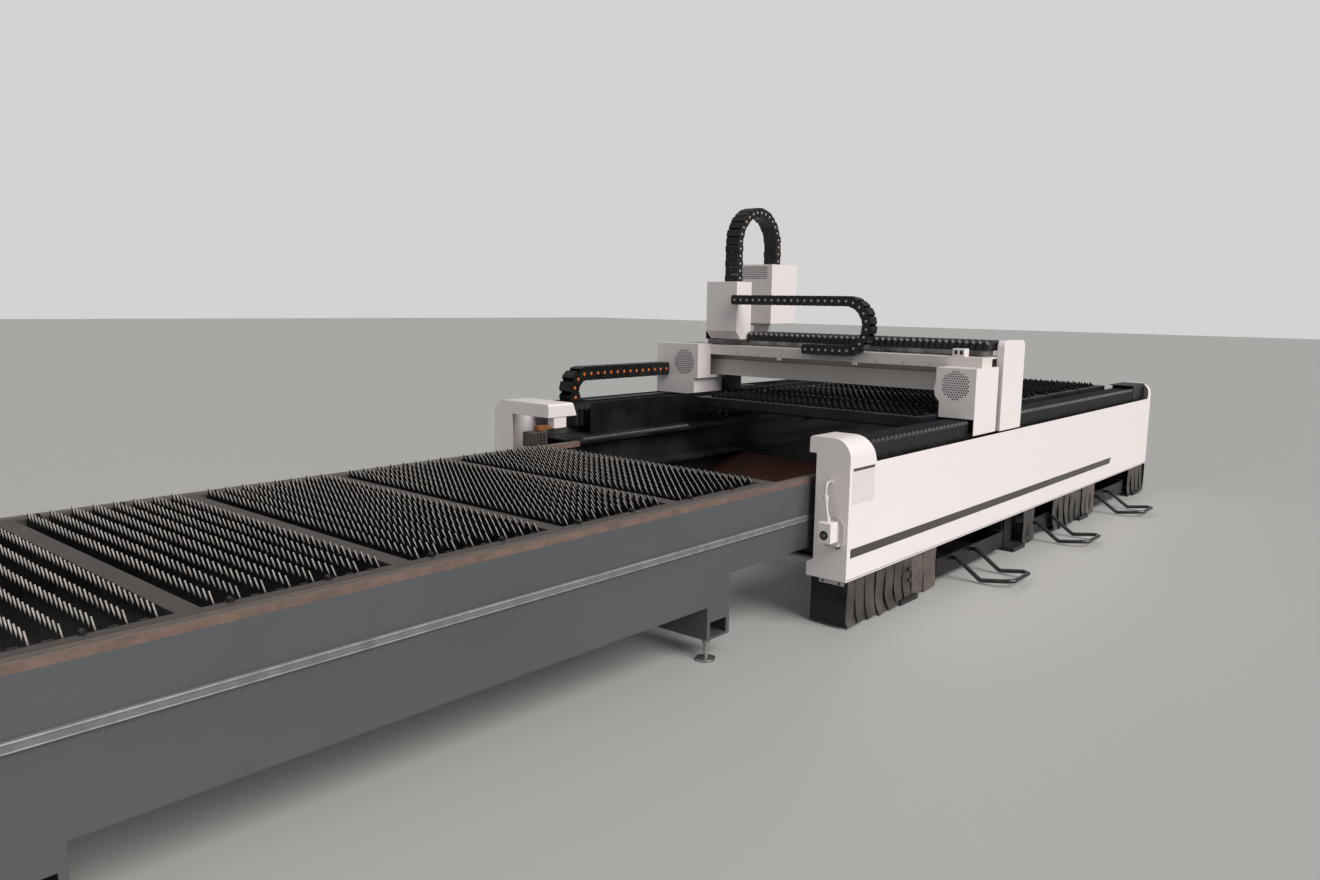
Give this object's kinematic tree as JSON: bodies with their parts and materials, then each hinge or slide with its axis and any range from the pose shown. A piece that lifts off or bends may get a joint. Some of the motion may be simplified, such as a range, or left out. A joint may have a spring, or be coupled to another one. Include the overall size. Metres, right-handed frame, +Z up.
{
  "type": "fiber laser cutting machine",
  "caption": "Open flat-bed laser cutter for sheet metal: gantry, head, folded covers, cable chains and a two-level exchange table with slatted pallets.",
  "frame": {"origin": "on the floor, below the middle of the machine's bounding box", "axes": "+X along the machine from the exchange table to the bed's rear, +Y from the side with the slag tray handles to the side with the long cable chain, +Z up"},
  "size_m": [8.466, 2.8186, 2.1499],
  "materials": {
    "white_paint": "satin white powder coat with a faint texture",
    "slate_paint": "dark slate grey paint, scuffed and dusty",
    "worn_rim": "worn brown steel with traces of dark paint",
    "black_steel": "black paint and scale, satin",
    "bright_steel": "ground bright steel",
    "black_fabric": "coated black folding cloth",
    "black_plastic": "black moulded plastic links",
    "skirt_rubber": "brownish dark grey rubber strips",
    "grey_beam": "light grey paint",
    "brown_steel": "rust brown heated steel sheet",
    "cable_grey": "light grey cable jacket",
    "nozzle_brass": "turned copper coloured nozzle"
  },
  "bodies": {
    "bed": {"cover_near": "white_paint", "cover_far": "white_paint", "sensor_box": "white_paint", "table_side_near": "slate_paint", "table_side_far": "slate_paint", "table_end": "slate_paint", "table_cross_beam": "slate_paint", "bed_side_near": "black_steel", "bed_side_far": "black_steel", "bed_beam_front": "black_steel", "bed_beam_rear": "black_steel", "inner_guard": "black_steel", "chain_tray": "black_steel", "pallet_track_near": "black_steel", "pallet_track_far": "black_steel", "guide_rail_near": "bright_steel", "guide_rail_far": "bright_steel", "gear_rack_near": "bright_steel", "gear_rack_far": "bright_steel", "drive_chain": "bright_steel", "foot_1": "bright_steel", "foot_2": "bright_steel", "foot_3": "bright_steel", "foot_4": "bright_steel", "rail_bellows_near_front": "black_fabric", "rail_bellows_near_rear": "black_fabric", "rail_bellows_far_front": "black_fabric", "rail_bellows_far_rear": "black_fabric", "cable_chain_x": "black_plastic", "skirt_1": "skirt_rubber", "skirt_2": "skirt_rubber", "skirt_3": "skirt_rubber", "skirt_4": "skirt_rubber", "skirt_5": "skirt_rubber", "slag_baffle": "brown_steel", "sensor_lead": "cable_grey"},
    "gantry": {"gantry_beam": "grey_beam", "gantry_end_near": "white_paint", "gantry_end_far": "white_paint", "gantry_plate_near": "white_paint", "gantry_slider_near": "black_steel", "gantry_slider_far": "black_steel", "beam_rail": "bright_steel", "switch_box": "white_paint", "beam_bellows_near": "black_fabric", "beam_bellows_far": "black_fabric", "cable_chain_y": "black_plastic"},
    "carriage": {"carriage_cover": "white_paint", "carriage_saddle": "grey_beam", "cable_chain_z": "black_plastic"},
    "head": {"head_cover": "white_paint", "cutting_head": "black_steel", "nozzle": "nozzle_brass"},
    "pallet_a": {"pallet_a_frame": "worn_rim", "pallet_a_slats": "black_steel"},
    "pallet_b": {"pallet_b_frame": "black_steel", "pallet_b_slats": "black_steel"},
    "slag_tray_1": {"slag_tray_1": "black_steel"},
    "slag_tray_2": {"slag_tray_2": "black_steel"},
    "slag_tray_3": {"slag_tray_3": "black_steel"}
  },
  "joints": [
    {"name": "gantry_slide", "type": "slide", "parent": "bed", "child": "gantry", "axis": [1, 0, 0], "range_m": [-1.1, 2.12], "deforming": ["rail_bellows_near_front", "rail_bellows_near_rear", "rail_bellows_far_front", "rail_bellows_far_rear", "cable_chain_x"]},
    {"name": "carriage_slide", "type": "slide", "parent": "gantry", "child": "carriage", "axis": [0, 1, 0], "range_m": [-1.41, 0], "deforming": ["beam_bellows_near", "beam_bellows_far", "cable_chain_y"]},
    {"name": "head_slide", "type": "slide", "parent": "carriage", "child": "head", "axis": [0, 0, 1], "range_m": [-0.11, 0], "deforming": ["cable_chain_z"]},
    {"name": "pallet_a_slide", "type": "slide", "parent": "bed", "child": "pallet_a", "axis": [1, 0, 0], "range_m": [0, 4.656]},
    {"name": "pallet_b_slide", "type": "slide", "parent": "bed", "child": "pallet_b", "axis": [1, 0, 0], "range_m": [-4.656, 0]},
    {"name": "slag_tray_1_slide", "type": "slide", "parent": "bed", "child": "slag_tray_1", "axis": [0, -1, 0], "range_m": [0, 1.2]},
    {"name": "slag_tray_2_slide", "type": "slide", "parent": "bed", "child": "slag_tray_2", "axis": [0, -1, 0], "range_m": [0, 1.2], "deforming": ["skirt_2", "skirt_3"]},
    {"name": "slag_tray_3_slide", "type": "slide", "parent": "bed", "child": "slag_tray_3", "axis": [0, -1, 0], "range_m": [0, 1.2], "deforming": ["skirt_4"]}
  ],
  "couplings": [
    {"joint": "pallet_b_slide", "follows": "pallet_a_slide", "ratio": -1}
  ]
}
